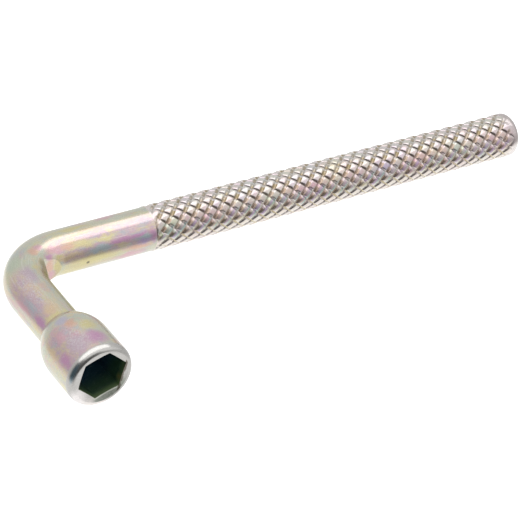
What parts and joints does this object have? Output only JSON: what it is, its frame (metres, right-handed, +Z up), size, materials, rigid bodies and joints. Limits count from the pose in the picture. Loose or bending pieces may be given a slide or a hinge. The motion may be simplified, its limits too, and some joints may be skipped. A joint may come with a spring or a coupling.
{
  "type": "hex socket wrench",
  "caption": "L-shaped hex socket wrench: a plated steel rod bent square, with a knurled handle and a domed socket for turning hexagon nuts and bolt heads.",
  "frame": {"origin": "bottom centre of the box around the wrench as it lies on a bench", "axes": "+X along the handle towards its rounded end, -Y along the arm towards the socket's mouth, +Z up"},
  "size_m": [0.113, 0.038, 0.0127],
  "materials": {
    "plated_socket": "yellow-iridescent zinc plating, polished at the mouth",
    "plated_rod": "yellow-iridescent zinc plating, fine drawing scratches",
    "plated_knurl": "yellow-iridescent zinc plating over a rolled diamond knurl"
  },
  "bodies": {
    "root": {"socket_head": "plated_socket", "bent_shank": "plated_rod", "knurled_handle": "plated_knurl"}
  },
  "joints": []
}
